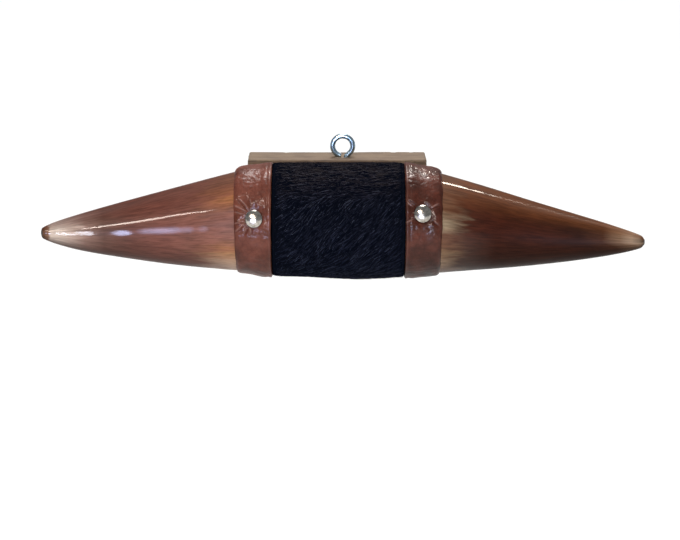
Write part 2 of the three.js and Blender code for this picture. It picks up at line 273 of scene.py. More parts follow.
# %% Grids of points
def grid_mesh(name, rows, material, ring=False):
    count, around = rows.shape[:2]
    i, j = np.meshgrid(np.arange(count if ring else count - 1), np.arange(around), indexing="ij")
    next_i, next_j = (i + 1) % count, (j + 1) % around
    corners = [(i, j), (next_i, j), (next_i, next_j), (i, next_j)]
    quads = np.stack([a * around + b for a, b in corners], -1).reshape(-1, 4)
    faces = [tuple(quad) for quad in quads.tolist()]
    points = rows.reshape(-1, 3)
    if not ring:
        points = np.vstack([points, rows[0].mean(0), rows[-1].mean(0)])
        for row, centre in ((0, len(points) - 2), (count - 1, len(points) - 1)):
            for k in range(around):
                edge = (row * around + k, row * around + (k + 1) % around)
                faces.append((centre, *(edge if row == 0 else edge[::-1])))
    made = new_mesh(name, points, faces, material)
    volume = bmesh.new()
    volume.from_mesh(made.data)
    if volume.calc_volume(signed=True) < 0:
        bmesh.ops.reverse_faces(volume, faces=volume.faces)
        volume.to_mesh(made.data)
    volume.free()
    return made


def smoothstep(x, low, high):
    t = np.clip((x - low) / (high - low), 0, 1)
    return t * t * (3 - 2 * t)


def noise_at(points, size, seed=0.0, octaves=3):
    """Smooth noise of about -1 to 1 at each point, with features of the given size."""
    flat = np.asarray(points, float).reshape(-1, 3) / size + seed
    values = [noise.fractal(Vector(p), 0.9, 2.0, octaves) for p in flat]
    return np.array(values).reshape(np.shape(points)[:-1])


# %% [markdown]
# A horn grows as a curved cone that ends, here, in a blunt sawn tip. Its radius follows a power
# of the distance from the tip, and its middle line sweeps forward and hangs a little. The same
# few sizes made the frame's horns, so this finer skin lies on them. Only the droop, a millimetre
# more hang two thirds of the way out, is added here.

# %% Horn sizes and sections
HORN_BASE_X = 64 * MM
HORN_TURN = 0.45  # share of the length over which the sections turn to follow the curve
HORN_FLATTEN = 0.08  # how much thinner the tip is from front to back than from top to bottom
# taper and bend are the powers that the radius and the forward sweep follow
LEFT_HORN = {
    "side": -1,
    "tip_x": 260.9 * MM,
    "base_radius": 49.1 * MM,
    "tip_radius": 3.65 * MM,
    "taper": 0.707,
    "sweep": 38 * MM,
    "bend": 2.6,
    "base_z": 2.2 * MM,
    "tip_z": -2.0 * MM,
    "sag": 4.3 * MM,
    "droop": 1.4 * MM,
}
RIGHT_HORN = {
    "side": 1,
    "tip_x": 268.4 * MM,
    "base_radius": 49.7 * MM,
    "tip_radius": 4.1 * MM,
    "taper": 0.786,
    "sweep": 44 * MM,
    "bend": 2.0,
    "base_z": 1.0 * MM,
    "tip_z": -8.6 * MM,
    "sag": 4.15 * MM,
    "droop": 1.0 * MM,
}


def horn_sections(horn, x):
    """Centres, radii, forward and upward axes, and shares of the length, at distances x."""
    x = np.asarray(x, float)
    length = horn["tip_x"] - HORN_BASE_X
    s = np.clip((x - HORN_BASE_X) / length, 0, 1)
    rise = horn["tip_z"] - horn["base_z"]
    # 4 and 6.75 make sag and droop the full drop at a half and at two thirds of the length
    z = horn["base_z"] + rise * s - horn["sag"] * 4 * s * (1 - s) - horn["droop"] * 6.75 * s**2 * (1 - s)
    centre = np.stack([horn["side"] * x, -horn["sweep"] * s ** horn["bend"], z], -1) + np.array(CORE)
    turned = smoothstep(s, 0, HORN_TURN)
    slope_y = -horn["sweep"] * horn["bend"] * s ** (horn["bend"] - 1) / length * turned
    slope_z = (rise - horn["sag"] * 4 * (1 - 2 * s)) / length * turned
    along = np.stack([np.full_like(s, horn["side"]), slope_y, slope_z], -1)
    along /= np.linalg.norm(along, axis=-1, keepdims=True)
    front = np.cross([0, 0, 1.0], along) * -horn["side"]
    front /= np.linalg.norm(front, axis=-1, keepdims=True)
    up = np.cross(front, along) * horn["side"]
    radius = horn["tip_radius"]
    radius = radius + (horn["base_radius"] - radius) * (1 - s) ** horn["taper"]
    return centre, radius, front, up, s


def horn_loops(horn, x, angle, extra=0.0):
    """Loops of points at the given angles round the sections at x, extra above their radius."""
    centre, radius, front, up, s = horn_sections(horn, x)
    reach = radius[:, None] + extra + 0 * angle
    flatten = (1 - HORN_FLATTEN * s)[:, None]
    across = (reach * flatten * np.cos(angle))[..., None] * front[:, None]
    return centre[:, None] + across + (reach * np.sin(angle))[..., None] * up[:, None]


# %% [markdown]
# Polished and lacquered horn is keratin, built of fibres that run from base to tip. The colour
# follows those fibres, so each point carries its place on a straightened horn: the direction
# round it and the share of the length from the base. Noise stretched along that length makes
# streaks that narrow with the horn. Near the base the outer layers are worn through to amber and
# cream, in flames that die out towards the darker body. The crown and the keel, which are the
# horn's top and bottom edges, are tinted as painted light and shade: the bottom is painted
# darker, and the top is painted darker on the left horn and lighter on the right. The lacquer is
# the shader's coat: a thin one with a high index, so that it mirrors the lamps but hardly veils
# the colours. On the right horn it is worn thinner beyond the band, where the photograph's
# streak fades.


# %% Horn material
# Scale round the horn, scale along it, and detail. One unit is about 50 mm at the base, so these
# are clouds of 23 mm and streaks about 6, 2 and 0.7 mm wide. The real fibres, of about 0.1 mm, are
# too fine to show, so the finest streaks are drawn coarser.
STREAKS = ((2.2, 2.2, 2), (8.0, 1.7, 4), (26.0, 3.5, 3), (70.0, 6.0, 2))
FULL_LACQUER, WORN_LACQUER = 0.1, 0.008  # coat weights
WORN_RUN = 0.14  # share of the horn over which the lacquer thins
CUT_HORN = "#3f3836"


def horn_material(name, body, around, flame_end, crown_shading, keel_shade, mottle, seed, worn_from=None, dark_below=0.0):
    """Horn with body colours from base to tip and the worn base's colours from bottom to top.

    The top and bottom edges' tints are painted light and shade: a tint, its strength, and the height from
    -1 to 1 where it starts.
    The lacquer is thinner from worn_from on, and the pale tip starts later below by dark_below.
    """
    material, tree, shader = new_material(
        name,
        Roughness=0.4,
        IOR=1.54,
        Specular_IOR_Level=0.03,
        Coat_Weight=0.05,
        Coat_Roughness=0.05,
        Coat_IOR=2.2,
    )
    fibre = node(tree, "ShaderNodeAttribute", out="Vector", attribute_name="fibre")
    along = node(tree, "ShaderNodeAttribute", out="Fac", attribute_name="along")
    cut = node(tree, "ShaderNodeAttribute", out="Fac", attribute_name="cut")
    height = node(tree, "ShaderNodeSeparateXYZ", {"Vector": fibre}, out="Y")
    if worn_from:
        ends = {"Value": along, "From Min": worn_from, "From Max": worn_from + WORN_RUN}
        ends.update({"To Min": FULL_LACQUER, "To Max": WORN_LACQUER})
        tree.links.new(node(tree, "ShaderNodeMapRange", ends), shader.inputs["Coat Weight"])
    streaks = []
    for round_scale, along_scale, detail in STREAKS:
        scale = (round_scale, round_scale, along_scale)
        shift = (seed, seed * 1.7, seed * 0.6 + round_scale)
        place = node(tree, "ShaderNodeMapping", {"Vector": fibre, "Location": shift, "Scale": scale})
        settings = {"Vector": place, "Scale": 1.0, "Detail": detail, "Distortion": 0.25}
        streaks.append(node(tree, "ShaderNodeTexNoise", settings))
    broad, middle, fine, hairline = streaks

    uneven = node(tree, "ShaderNodeMath", {0: broad, 1: -0.5}, operation="ADD")
    swing = node(tree, "ShaderNodeMath", {0: along, 1: -0.11, 2: 0.12}, operation="MULTIPLY_ADD")
    shifted = node(tree, "ShaderNodeMath", {0: uneven, 1: swing, 2: along}, operation="MULTIPLY_ADD")
    ends = {"Value": height, "From Min": 0.15, "From Max": -0.35, "To Max": -dark_below}
    lower = node(tree, "ShaderNodeMapRange", ends, interpolation_type="SMOOTHSTEP")
    shifted = node(tree, "ShaderNodeMath", {0: shifted, 1: lower}, operation="ADD")
    body_colour = node(tree, "ShaderNodeValToRGB", {"Fac": shifted}, stops=body)

    # painted light and shade: the horn's top and bottom edges are tinted
    for (tint, strength, start), end in ((crown_shading, 1.0), (keel_shade, -1.0)):
        ends = {"Value": height, "From Min": start, "From Max": end, "To Max": strength}
        share = node(tree, "ShaderNodeMapRange", ends, interpolation_type="SMOOTHSTEP")
        inputs = {0: share, COLOUR_A: body_colour, COLOUR_B: srgb(tint)}
        body_colour = node(tree, "ShaderNodeMix", inputs, out=COLOUR_OUT, data_type="RGBA")

    half_height = node(tree, "ShaderNodeMath", {0: height, 1: 0.5, 2: 0.5}, operation="MULTIPLY_ADD")
    wander = node(tree, "ShaderNodeMath", {0: middle, 1: -0.5}, operation="ADD")
    ring = node(tree, "ShaderNodeMath", {0: wander, 1: 0.13, 2: half_height}, operation="MULTIPLY_ADD")
    flame_colour = node(tree, "ShaderNodeValToRGB", {"Fac": ring}, stops=around)

    ragged = node(tree, "ShaderNodeMath", {0: wander, 1: 0.3, 2: along}, operation="MULTIPLY_ADD")
    ends = {"Value": ragged, "From Min": flame_end, "From Max": flame_end * 0.3}
    reach = node(tree, "ShaderNodeMapRange", ends, interpolation_type="SMOOTHSTEP")
    mixed = {0: reach, COLOUR_A: body_colour, COLOUR_B: flame_colour}
    colour = node(tree, "ShaderNodeMix", mixed, out=COLOUR_OUT, data_type="RGBA")

    for factor, stops, strength in (
        (middle, [(0.3, 0.5), (0.62, 1.08)], mottle),
        (fine, [(0.32, 0.45), (0.6, 1.1)], mottle),
        (hairline, [(0.28, 0.4), (0.4, 1.0)], mottle * 0.8),
    ):
        shade = node(tree, "ShaderNodeValToRGB", {"Fac": factor}, stops=stops)
        inputs = {0: strength, COLOUR_A: colour, COLOUR_B: shade}
        colour = node(
            tree, "ShaderNodeMix", inputs, out=COLOUR_OUT, data_type="RGBA", blend_type="MULTIPLY"
        )
    inputs = {0: cut, COLOUR_A: colour, COLOUR_B: srgb(CUT_HORN)}
    colour = node(tree, "ShaderNodeMix", inputs, out=COLOUR_OUT, data_type="RGBA")
    tree.links.new(colour, shader.inputs["Base Color"])
    relief = {"Height": fine, "Strength": 0.12, "Distance": 0.4 * MM}
    tree.links.new(node(tree, "ShaderNodeBump", relief), shader.inputs["Normal"])
    return material


# %% [markdown]
# Each horn gets two lists of colours, because that is how horn grows: one along its body, which
# pales towards the tip, and one round its base, where the worn layers show amber and cream.

# %% Horn colours
# places from base to tip, 0 to 1
LEFT_BODY = [
    (0.15, "#86564a"),
    (0.35, "#7e5147"),
    (0.49, "#784a41"),
    (0.63, "#6c443c"),
    (0.75, "#684a42"),
    (0.83, "#90726a"),
    (0.9, "#c0aaa1"),
    (0.945, "#d3c2b9"),
    (0.972, "#d8c6bc"),
    (0.979, "#8f6a57"),
    (0.995, "#6b4a3a"),
]
# places from the horn's bottom to its top, 0 to 1
LEFT_AROUND = [
    (0.0, "#806c5f"),
    (0.1, "#9d8576"),
    (0.19, "#b08f77"),
    (0.27, "#ac7e5b"),
    (0.34, "#9e6c4e"),
    (0.43, "#8a5f55"),
    (0.6, "#87615c"),
    (0.7, "#895f58"),
    (0.76, "#8d5c46"),
    (0.82, "#a56e4a"),
    (0.88, "#8a5840"),
    (0.94, "#754937"),
    (1.0, "#664233"),
]
RIGHT_BODY = [
    (0.15, "#4c2818"),
    (0.25, "#442013"),
    (0.35, "#3c1a0f"),
    (0.62, "#39180c"),
    (0.75, "#2f140a"),
    (0.84, "#452718"),
    (0.91, "#7a5f4c"),
    (0.955, "#9d8572"),
    (0.985, "#806d5e"),
    (1.0, "#43342b"),
]
RIGHT_AROUND = [
    (0.0, "#45332a"),
    (0.1, "#6b5547"),
    (0.2, "#8a725c"),
    (0.3, "#82644a"),
    (0.4, "#76503a"),
    (0.5, "#6f4a38"),
    (0.58, "#a8977f"),
    (0.67, "#9f8d76"),
    (0.76, "#7c5b45"),
    (0.86, "#6b4a39"),
    (1.0, "#5e4333"),
]

# painted light and shade on the top and bottom edges: a tint, its strength, and the height from -1 to 1
# where it starts
LEFT_CROWN_SHADING = ("#4e271c", 0.7, 0.4)
LEFT_KEEL_SHADE = ("#351e19", 0.92, -0.08)
RIGHT_CROWN_SHADING = ("#6f4327", 0.6, 0.45)
RIGHT_KEEL_SHADE = ("#1c0f0a", 0.9, 0.35)

left_keratin = horn_material(
    "lacquered_horn_red_brown",
    LEFT_BODY,
    LEFT_AROUND,
    flame_end=0.36,
    crown_shading=LEFT_CROWN_SHADING,
    keel_shade=LEFT_KEEL_SHADE,
    mottle=0.55,
    seed=3.0,
)
right_keratin = horn_material(
    "lacquered_horn_dark_brown",
    RIGHT_BODY,
    RIGHT_AROUND,
    flame_end=0.27,
    crown_shading=RIGHT_CROWN_SHADING,
    keel_shade=RIGHT_KEEL_SHADE,
    mottle=0.6,
    seed=8.0,
    worn_from=0.25,
    dark_below=0.06,
)
print("horn materials:", left_keratin.name, right_keratin.name)

# %% [markdown]
# The horns' skins. Low ripples that run lengthwise, and a few faint growth rings near the base,
# keep the reflections from looking turned on a lathe. The last rows turn in over the sawn tip.

# %% Horns
HORN_SIDES = 160
HORN_RINGS = 200
LEFT_TIP_ROUNDING = 0.8 * MM
RIGHT_TIP_ROUNDING = 3.2 * MM
RIPPLE_HEIGHT = 0.7 * MM
GROWTH_RING_HEIGHT = 0.1 * MM
SKIN_BELOW = 0.15 * MM  # the ripples' middle height lies this far below the frame's surface
STRAIGHT_LENGTH = 4  # of the straightened horn, whose radius is 1
CUT_ABOVE = 0.15 * MM  # the sawn face's middle stands this much further out than its rim


def make_horn(name, horn, material, rounding, seed):
    angle = np.linspace(0, 2 * np.pi, HORN_SIDES, endpoint=False)
    left_over = np.linspace(1, 0, HORN_RINGS) ** 1.7
    x = horn["tip_x"] - (horn["tip_x"] - HORN_BASE_X) * left_over
    x[-1] = horn["tip_x"] - CUT_ABOVE
    s = horn_sections(horn, x)[4]
    straightened = np.stack(
        [
            np.cos(angle)[None] + 0 * s[:, None],
            np.sin(angle)[None] + 0 * s[:, None],
            s[:, None] * STRAIGHT_LENGTH + 0 * angle[None],
        ],
        -1,
    )
    fade = np.minimum(1, (1 - s) * 5)[:, None]
    ripple = noise_at(straightened * (1, 1, 0.6), 0.8, seed, 1) * RIPPLE_HEIGHT
    growth = noise_at(straightened * (0.3, 0.3, 3), 0.6, seed + 5, 1) * GROWTH_RING_HEIGHT
    extra = (ripple + growth * (1 - s[:, None]) - SKIN_BELOW) * fade
    rows = horn_loops(horn, x, angle, extra)
    centre = horn_sections(horn, x)[0][:, None]
    past = np.clip((x - horn["tip_x"] + rounding) / rounding, 0, 0.9)[:, None, None]
    rows = centre + (rows - centre) * np.sqrt(1 - past**2 * 0.8)
    middle = rows[-1].mean(0)
    outward = np.array([horn["side"], 0, 0]) * CUT_ABOVE
    face_rows = [middle + (rows[-1] - middle) * share + outward for share in (0.86, 0.6, 0.3)]
    rows = np.concatenate([rows, np.array(face_rows)])
    made = grid_mesh(name, rows, material)
    fibre = np.concatenate([straightened, np.repeat(straightened[-1:], 3, 0)]).reshape(-1, 3)
    fibre = np.vstack([fibre, [0, 0, 0], [0, 0, STRAIGHT_LENGTH]])
    set_attribute(made, "fibre", fibre)
    set_attribute(made, "along", np.clip(fibre[:, 2] / STRAIGHT_LENGTH, 0, 1))
    cut = np.zeros(len(fibre))
    cut[HORN_SIDES * HORN_RINGS :] = 1
    cut[-2] = 0
    set_attribute(made, "cut", cut)
    print(name, len(made.data.polygons), "faces")
    return made


left_horn = make_horn("left_horn_skin", LEFT_HORN, left_keratin, LEFT_TIP_ROUNDING, 1.3)
right_horn = make_horn("right_horn_skin", RIGHT_HORN, right_keratin, RIGHT_TIP_ROUNDING, 7.9)

# %% [markdown]
# The bands are vegetable-tanned leather, dyed brown and lacquered. Leather that is nailed while
# damp dries with a pucker round the nail, folds that run out from it, and fine creases where it
# was stretched over the horn's rim. Those are shapes, so they are in the mesh. Only the pores
# and the hair-fine crackle of the lacquer are bump. Real pores are less than half a millimetre
# apart. They are drawn 1.3 mm apart, so that they show. The lacquer makes soft, broken highlights.


# %% Leather material
def leather_material():
    material, tree, shader = new_material(
        "lacquered_brown_leather",
        Roughness=0.42,
        Specular_IOR_Level=0.06,
        Coat_Weight=0.085,
        Coat_Roughness=0.13,
        Coat_IOR=2.0,
    )
    place = node(tree, "ShaderNodeTexCoord", out="Object")
    edge = node(tree, "ShaderNodeAttribute", out="Fac", attribute_name="edge")
    # this attribute holds the leather's own uneven tone and painted shade
    tone_and_shade = node(tree, "ShaderNodeAttribute", out="Fac", attribute_name="tone_and_shade")
    cloud = node(tree, "ShaderNodeTexNoise", {"Vector": place, "Scale": 1 / (14 * MM), "Detail": 4.0})
    uneven = node(tree, "ShaderNodeMath", {0: cloud, 1: -0.5}, operation="ADD")
    toned = node(tree, "ShaderNodeMath", {0: uneven, 1: 0.8, 2: tone_and_shade}, operation="MULTIPLY_ADD")
    colour = node(
        tree,
        "ShaderNodeValToRGB",
        {"Fac": toned},
        stops=[(0.0, "#1f0e0a"), (0.3, "#401f17"), (0.55, "#5c3026"), (0.85, "#774438")],
    )
    pores = node(
        tree,
        "ShaderNodeTexVoronoi",
        {"Vector": place, "Scale": 1 / (1.3 * MM)},
        out="Distance",
        feature="DISTANCE_TO_EDGE",
    )
    crackle = node(
        tree,
        "ShaderNodeTexVoronoi",
        {"Vector": place, "Scale": 1 / (4.2 * MM), "Randomness": 1.0},
        out="Distance",
        feature="DISTANCE_TO_EDGE",
    )
    seams = node(tree, "ShaderNodeValToRGB", {"Fac": crackle}, stops=[(0.0, 0.35), (0.09, 1.0)])
    inputs = {0: 0.3, COLOUR_A: colour, COLOUR_B: seams}
    colour = node(
        tree, "ShaderNodeMix", inputs, out=COLOUR_OUT, data_type="RGBA", blend_type="MULTIPLY"
    )
    # painted highlight: the rolled inner edge and the crease ridges are mixed towards a pale colour
    inputs = {0: edge, COLOUR_A: colour, COLOUR_B: srgb("#a3807a")}
    colour = node(tree, "ShaderNodeMix", inputs, out=COLOUR_OUT, data_type="RGBA")
    tree.links.new(colour, shader.inputs["Base Color"])
    pore_depth = node(tree, "ShaderNodeValToRGB", {"Fac": pores}, stops=[(0.0, 0.0), (0.18, 1.0)])
    fine = {"Height": pore_depth, "Strength": 0.25, "Distance": 0.12 * MM}
    bumped = node(tree, "ShaderNodeBump", fine)
    coarse = {"Height": seams, "Strength": 0.25, "Distance": 0.2 * MM, "Normal": bumped}
    bumped = node(tree, "ShaderNodeBump", coarse)
    tree.links.new(bumped, shader.inputs["Normal"])
    tree.links.new(bumped, shader.inputs["Coat Normal"])
    return material


leather = leather_material()
print("leather material:", leather.name)

# %% [markdown]
# Each band follows the horn's own sections. Its outside rises from a rolled inner edge, lies
# flat over the rim and thickens to a folded outer edge. Round the nail, distances are measured
# on the leather itself, so that the pucker stays round where the band curves away. A crease is a
# narrow groove with a ridge beside it, and the ridge is painted lighter, as a painted highlight.
# The rolled inner edge is painted faintly lighter too, as a painted highlight.

# %% Band sizes
GAP = 0.3 * MM
BAND_INNER_X = 59.0 * MM
BAND_OUTER_X = 91.5 * MM
BAND_THIN = 1.9 * MM
BAND_THICK = 3.0 * MM
BAND_MIDDLE_RADIUS = 49.5 * MM
NAIL_X = 73.6 * MM
LEFT_NAIL_RISE = math.radians(15.5)
RIGHT_NAIL_RISE = math.radians(20.5)
BAND_SIDES = 640
BAND_ROWS = 84
INNER_ROUND = 1.5 * MM
OUTER_ROUND = 4.4 * MM
PUCKER_DEPTH, PUCKER_REACH = 1.5 * MM, 9.5 * MM
LIP_HEIGHT, LIP_REACH = 0.35 * MM, 12.5 * MM
CREASE_DEPTH, CREASE_WIDTH = 0.95 * MM, 0.65 * MM
RIDGE_HEIGHT, RIDGE_BESIDE, RIDGE_WIDTH = 0.6 * MM, 1.2 * MM, 0.6 * MM
# how much lighter the crease ridges are painted, as a painted highlight
RIDGE_HIGHLIGHT = 0.42
FULLER_BELOW, FULLER_ABOVE = 2.2 * MM, 1.1 * MM
# how much darker the band is painted towards its bottom, as painted shade
SHADE_BELOW = 0.28
BAND_WIDTH = BAND_OUTER_X - BAND_INNER_X
print("band width", round(BAND_WIDTH / MM, 1), "mm")


# %% Band profile
def band_profile(across):
    """The band's thickness across its width, and a share from 0 to 1 where its edges round off."""
    from_inner, from_outer = across * BAND_WIDTH, (1 - across) * BAND_WIDTH
    thick = BAND_THIN + (BAND_THICK - BAND_THIN) * smoothstep(across, 0.25, 0.85)
    inner_round = np.sqrt(1 - (1 - np.clip(from_inner / INNER_ROUND, 0, 1)) ** 2)
    outer_round = np.sqrt(1 - (1 - np.clip(from_outer / OUTER_ROUND, 0, 1)) ** 2)
    bead = 0.2 * MM * np.exp(-(((from_inner - INNER_ROUND) / (1.2 * MM)) ** 2))
    groove = -0.3 * MM * np.exp(-(((from_inner - 4.2 * MM) / (1.3 * MM)) ** 2))
    edges = np.minimum(inner_round, outer_round)
    return (thick + bead + groove) * edges, edges


band_rows = (1 - np.cos(np.linspace(0, np.pi, BAND_ROWS))) / 2
band_rows = 0.35 * band_rows + 0.65 * np.linspace(0, 1, BAND_ROWS)
print("thickest at", round(band_profile(band_rows)[0].max() / MM, 2), "mm")


# %% Band creases
def add_creases(folds, distance, turn, wobble, creases):
    """The folds with a groove and a ridge for each crease, and how strongly each ridge's painted highlight
    shows.
    """
    ridge_highlights = 0 * distance
    for degrees, start, stop in creases:
        off = distance * np.sin(turn - math.radians(degrees))
        ahead = np.cos(turn - math.radians(degrees)) > 0
        run = smoothstep(distance, start * MM, start * MM + 3 * MM) * ahead
        run = run * (1 - smoothstep(distance, stop * MM - 5 * MM, stop * MM))
        off = off + wobble * 0.4 * MM
        folds = folds - run * CREASE_DEPTH * np.exp(-((off / CREASE_WIDTH) ** 2))
        ridge = run * np.exp(-(((off - RIDGE_BESIDE) / RIDGE_WIDTH) ** 2))
        folds = folds + RIDGE_HEIGHT * ridge
        ridge_highlights = np.maximum(ridge_highlights, ridge)
    return folds, ridge_highlights


print("crease depth", round(CREASE_DEPTH / MM, 2), "mm")


# %% Band shape
def make_band(name, horn, rise, tone_and_shade, fullness, crease_turns, seed):
    """A band with its nail at the given rise; fullness is how far the slack leather stands off."""
    angle = np.linspace(0, 2 * np.pi, BAND_SIDES, endpoint=False)
    across = band_rows
    x = BAND_INNER_X + across * BAND_WIDTH
    profile, edges = band_profile(across)

    arc = ((angle - rise + np.pi) % (2 * np.pi) - np.pi) * BAND_MIDDLE_RADIUS
    u, v = np.meshgrid(arc, x - NAIL_X)
    distance = np.hypot(u, v)
    turn = np.arctan2(u, v)
    round_y, round_z = np.cos(angle) * 48 * MM, np.sin(angle) * 48 * MM
    grid = np.stack([x[:, None] + 0 * u, round_y + 0 * u, round_z + 0 * u], -1)
    wobble = noise_at(grid, 9 * MM, seed + 2)
    pucker = -PUCKER_DEPTH * np.exp(-((distance / PUCKER_REACH) ** 4))
    lip = LIP_HEIGHT * np.exp(-(((distance - LIP_REACH) / (3 * MM)) ** 2))
    folds = np.cos(turn * 6 + wobble * 2.5 + seed) * smoothstep(distance, 8 * MM, 13 * MM)
    folds = folds * np.exp(-(((distance - 13 * MM) / (13 * MM)) ** 2)) * 0.42 * MM
    creases = (np.abs(noise_at(grid * (0.45, 1, 1), 8 * MM, seed, 2)) - 0.25) * 0.4 * MM
    lumps = noise_at(grid, 19 * MM, seed + 9, 2) * 0.32 * MM
    folds, ridge_highlights = add_creases(folds, distance, turn, wobble, crease_turns)
    top = smoothstep(np.sin(angle), 0.55, 0.8)[None]
    crackle = (0.04 + 0.2 * top) * noise_at(grid, 3.2 * MM, seed + 6, 2) * MM
    relief = pucker + lip + folds + creases + lumps + crackle
    settle = edges[:, None]
    below = np.maximum(0, -np.sin(angle)) ** 1.5 * FULLER_BELOW
    above = np.maximum(0, np.sin(angle)) ** 3 * FULLER_ABOVE
    inner_share = 1 - smoothstep(across, 0.2, 0.85)
    fuller = (inner_share[:, None] - 0.4) * (below - above) * fullness
    extra = GAP + profile[:, None] + (relief + fuller) * settle
    extra = np.maximum(extra, GAP + 0.25 * MM * settle)
    rows = horn_loops(horn, x, angle, extra)
    shift = noise_at(grid * (0, 1, 1), 13 * MM, seed + 4, 2) * 0.55 * MM
    ends = (smoothstep(across, 0.85, 1) - smoothstep(across, 0.15, 0))[:, None]
    rows[..., 0] += horn["side"] * np.where(ends > 0, shift, np.abs(shift) * 0.3) * np.abs(ends)
    under_x = np.linspace(BAND_OUTER_X, BAND_INNER_X, 8)
    under = horn_loops(horn, under_x, angle, GAP * np.ones((8, 1)))
    under[0, :, 0] = rows[-1, :, 0]
    under[-1, :, 0] = rows[0, :, 0]
    made = grid_mesh(name, np.concatenate([rows, under]), leather, ring=True)
    edge = np.zeros((len(rows) + len(under), BAND_SIDES))
    from_inner = across * BAND_WIDTH
    # painted highlight: the rolled inner edge and the crease ridges are painted lighter
    edge[: len(rows)] = np.exp(-(((from_inner - 1.3 * MM) / (0.9 * MM)) ** 2))[:, None] * 0.05
    edge[: len(rows)] += ridge_highlights * RIDGE_HIGHLIGHT
    set_attribute(made, "edge", edge.ravel())
    # painted shade: the tone is darker towards the bottom of the band
    shaded_tone = tone_and_shade - SHADE_BELOW * smoothstep(-np.sin(angle), 0.1, 0.95)
    set_attribute(made, "tone_and_shade", np.tile(shaded_tone, len(edge)))
    print(name, len(made.data.polygons), "faces")
    return made


# %% Bands
# direction from the nail in degrees, and where the crease starts and stops in millimetres
LEFT_CREASES = [(18, 8, 20), (34, 8, 24), (52, 8, 26), (74, 9, 20), (100, 9, 15)]
LEFT_CREASES += [(-16, 8, 20), (-36, 8, 22), (-58, 9, 19), (-82, 9, 17)]
RIGHT_CREASES = [(35, 9, 20), (140, 9, 18), (205, 9, 20), (-30, 9, 17)]
# the right band's lower tone is painted shade: it is darker than the left band, as though less lit
left_band = make_band(
    "left_band_leather",
    LEFT_HORN,
    LEFT_NAIL_RISE,
    tone_and_shade=0.62,
    fullness=1.6,
    crease_turns=LEFT_CREASES,
    seed=2.1,
)
right_band = make_band(
    "right_band_leather",
    RIGHT_HORN,
    RIGHT_NAIL_RISE,
    tone_and_shade=0.37,
    fullness=0.9,
    crease_turns=RIGHT_CREASES,
    seed=6.4,
)

# %% [markdown]
# The nails are steel, plated with nickel and polished in a tumbler. A metal's colour is all in
# its reflection, so the base colour is nickel's warm grey and the roughness is low, with a few
# rubbed patches.


# %% Plated metal material
def plated_metal(name, colour, worn, roughness, grain):
    material, tree, shader = new_material(name, Metallic=1.0)
    place = node(tree, "ShaderNodeTexCoord", out="Object")
    cloud = node(tree, "ShaderNodeTexNoise", {"Vector": place, "Scale": 1 / grain, "Detail": 3.0})
    shades = node(tree, "ShaderNodeValToRGB", {"Fac": cloud}, stops=[(0.35, worn), (0.6, colour)])
    tree.links.new(shades, shader.inputs["Base Color"])
    ends = {"Value": cloud, "To Min": roughness * 1.6, "To Max": roughness * 0.7}
    tree.links.new(node(tree, "ShaderNodeMapRange", ends), shader.inputs["Roughness"])
    relief = {"Height": cloud, "Strength": 0.08, "Distance": 0.2 * MM}
    tree.links.new(node(tree, "ShaderNodeBump", relief), shader.inputs["Normal"])
    return material


nickel = plated_metal("polished_nickel_plate", "#b5b0a9", "#87827b", 0.17, 2.5 * MM)
print("nail material:", nickel.name)

# %% [markdown]
# A nail is round, so it is made by turning a profile: a low dome with a turned-in rim and a couple
# of dings, and a shank that goes through the band into the horn. It stands square on the band.

# %% Nails
NAIL_HEAD_RADIUS = 8 * MM
NAIL_HEAD_HEIGHT = 4.2 * MM
NAIL_SHANK_RADIUS = 1.25 * MM
NAIL_LENGTH = 30 * MM
NAIL_SEAT = 50.7 * MM  # from the core's middle to the head's rim
DOME_ROWS = 22
DING_DEPTH = 0.12 * MM


def turned_rows(profile, sides):
    """Loops round the Y axis from a list of (radius, y)."""
    angle = np.linspace(0, 2 * np.pi, sides, endpoint=False)
    radius, y = np.array(profile, float).T
    ring_x, ring_z = np.cos(angle), np.sin(angle)
    return np.stack([radius[:, None] * ring_x, y[:, None] + 0 * ring_x, radius[:, None] * ring_z], -1)


def make_nail(name, side, rise, seed):
    sweep = np.linspace(0.03, 1, DOME_ROWS) * math.pi / 2
    profile = [(NAIL_HEAD_RADIUS * math.sin(a), -NAIL_HEAD_HEIGHT * math.cos(a)) for a in sweep]
    profile += [(NAIL_HEAD_RADIUS * 0.93, 0.25 * MM), (NAIL_SHANK_RADIUS, 0.1 * MM)]
    profile += [(NAIL_SHANK_RADIUS, NAIL_LENGTH - 3 * MM), (0.1 * MM, NAIL_LENGTH)]
    rows = turned_rows(profile, 72)
    dings = noise_at(rows[:DOME_ROWS], 5 * MM, seed, 2) * DING_DEPTH
    rows[:DOME_ROWS, :, 1] += dings
    c, s = math.cos(rise), math.sin(rise)
    x, y, z = np.moveaxis(rows, -1, 0)
    turned = np.stack([x, y * c + z * s, z * c - y * s], -1)
    seat = np.array(CORE) + (side * NAIL_X, -NAIL_SEAT * c, NAIL_SEAT * s)
    return grid_mesh(name, turned + seat, nickel)


left_nail = make_nail("left_nail_dome", -1, LEFT_NAIL_RISE, 0.4)
right_nail = make_nail("right_nail_dome", 1, RIGHT_NAIL_RISE, 5.2)
print("nail", len(left_nail.data.polygons), "faces")

# %% [markdown]
# The block is a piece of standard 38 by 89 mm softwood, sawn to length and left to weather. Dry,
# grey wood has no gloss. Year rings cut by the saw make broad bands, and the fibres fine streaks
# along X. The fibres are drawn coarser than the real 0.2 mm, so that they show.

# %% Weathered wood material
BLOCK_SIZE = BLOCK_HIGH - BLOCK_LOW


